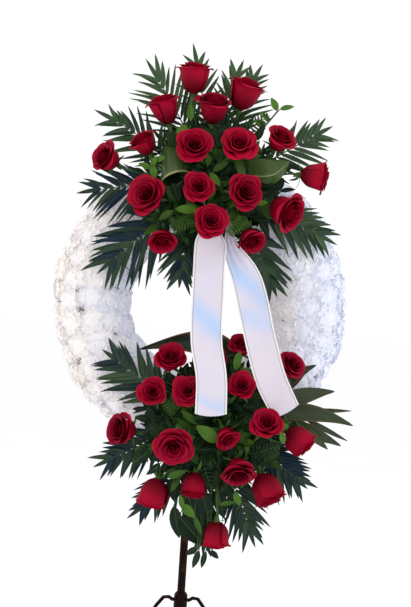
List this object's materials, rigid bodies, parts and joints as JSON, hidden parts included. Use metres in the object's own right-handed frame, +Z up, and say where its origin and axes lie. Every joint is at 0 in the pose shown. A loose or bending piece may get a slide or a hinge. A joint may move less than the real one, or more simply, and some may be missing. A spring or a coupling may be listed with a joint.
{
  "type": "funeral wreath on a stand",
  "caption": "Ring wreath of white carnations with two sprays of red roses and palm, satin ribbon tails, hung on a metal tripod stand.",
  "frame": {"origin": "middle of the object's footprint, on the floor", "axes": "+Z up, the front of the wreath faces -Y, +X to the right of a viewer in front of it"},
  "size_m": [0.7319, 0.6381, 1.588],
  "materials": {
    "white_petals": "soft matt white petals",
    "red_petals": "velvety deep red petals",
    "stem_green": "fresh green stems and leaves",
    "palm_green": "dark satin palm leaf",
    "leaf_green": "dark glossy leaf",
    "floral_foam": "matt green foam",
    "white_satin": "white satin with a fine gold stripe at each edge",
    "stand_metal": "dark brown paint"
  },
  "bodies": {
    "root": {"post": "stand_metal", "leg_hub": "stand_metal", "leg_left": "stand_metal", "leg_right": "stand_metal", "leg_back": "stand_metal", "hanger": "stand_metal", "lower_plate": "stand_metal", "ring_core": "floral_foam", "carnation_ring": "white_petals", "rose_upper_01": "red_petals", "rose_upper_02": "red_petals", "rose_upper_03": "red_petals", "rose_upper_04": "red_petals", "rose_upper_05": "red_petals", "rose_upper_06": "red_petals", "rose_upper_07": "red_petals", "rose_upper_08": "red_petals", "rose_upper_09": "red_petals", "rose_upper_10": "red_petals", "rose_upper_11": "red_petals", "rose_upper_12": "red_petals", "rose_upper_13": "red_petals", "rose_upper_14": "red_petals", "rose_upper_15": "red_petals", "rose_upper_16": "red_petals", "rose_upper_17": "red_petals", "rose_lower_01": "red_petals", "rose_lower_02": "red_petals", "rose_lower_03": "red_petals", "rose_lower_04": "red_petals", "rose_lower_05": "red_petals", "rose_lower_06": "red_petals", "rose_lower_07": "red_petals", "rose_lower_08": "red_petals", "rose_lower_09": "red_petals", "rose_lower_10": "red_petals", "rose_lower_11": "red_petals", "rose_lower_12": "red_petals", "rose_lower_13": "red_petals", "rose_lower_14": "red_petals", "rose_lower_15": "red_petals", "rose_lower_16": "red_petals", "rose_lower_17": "red_petals", "spray_upper_stems": "stem_green", "spray_lower_stems": "stem_green", "palm_upper_top": "palm_green", "palm_upper_left": "palm_green", "palm_upper_low_left": "palm_green", "palm_upper_low_right": "palm_green", "palm_upper_right": "palm_green", "palm_lower_left": "palm_green", "palm_lower_bottom": "palm_green", "palm_lower_right": "palm_green", "leaves_lower_right": "leaf_green", "leaf_long_lower": "leaf_green", "leaf_loop_upper": "leaf_green", "leaf_fold_upper": "leaf_green", "ribbon_left": "white_satin", "ribbon_right": "white_satin"}
  },
  "joints": []
}
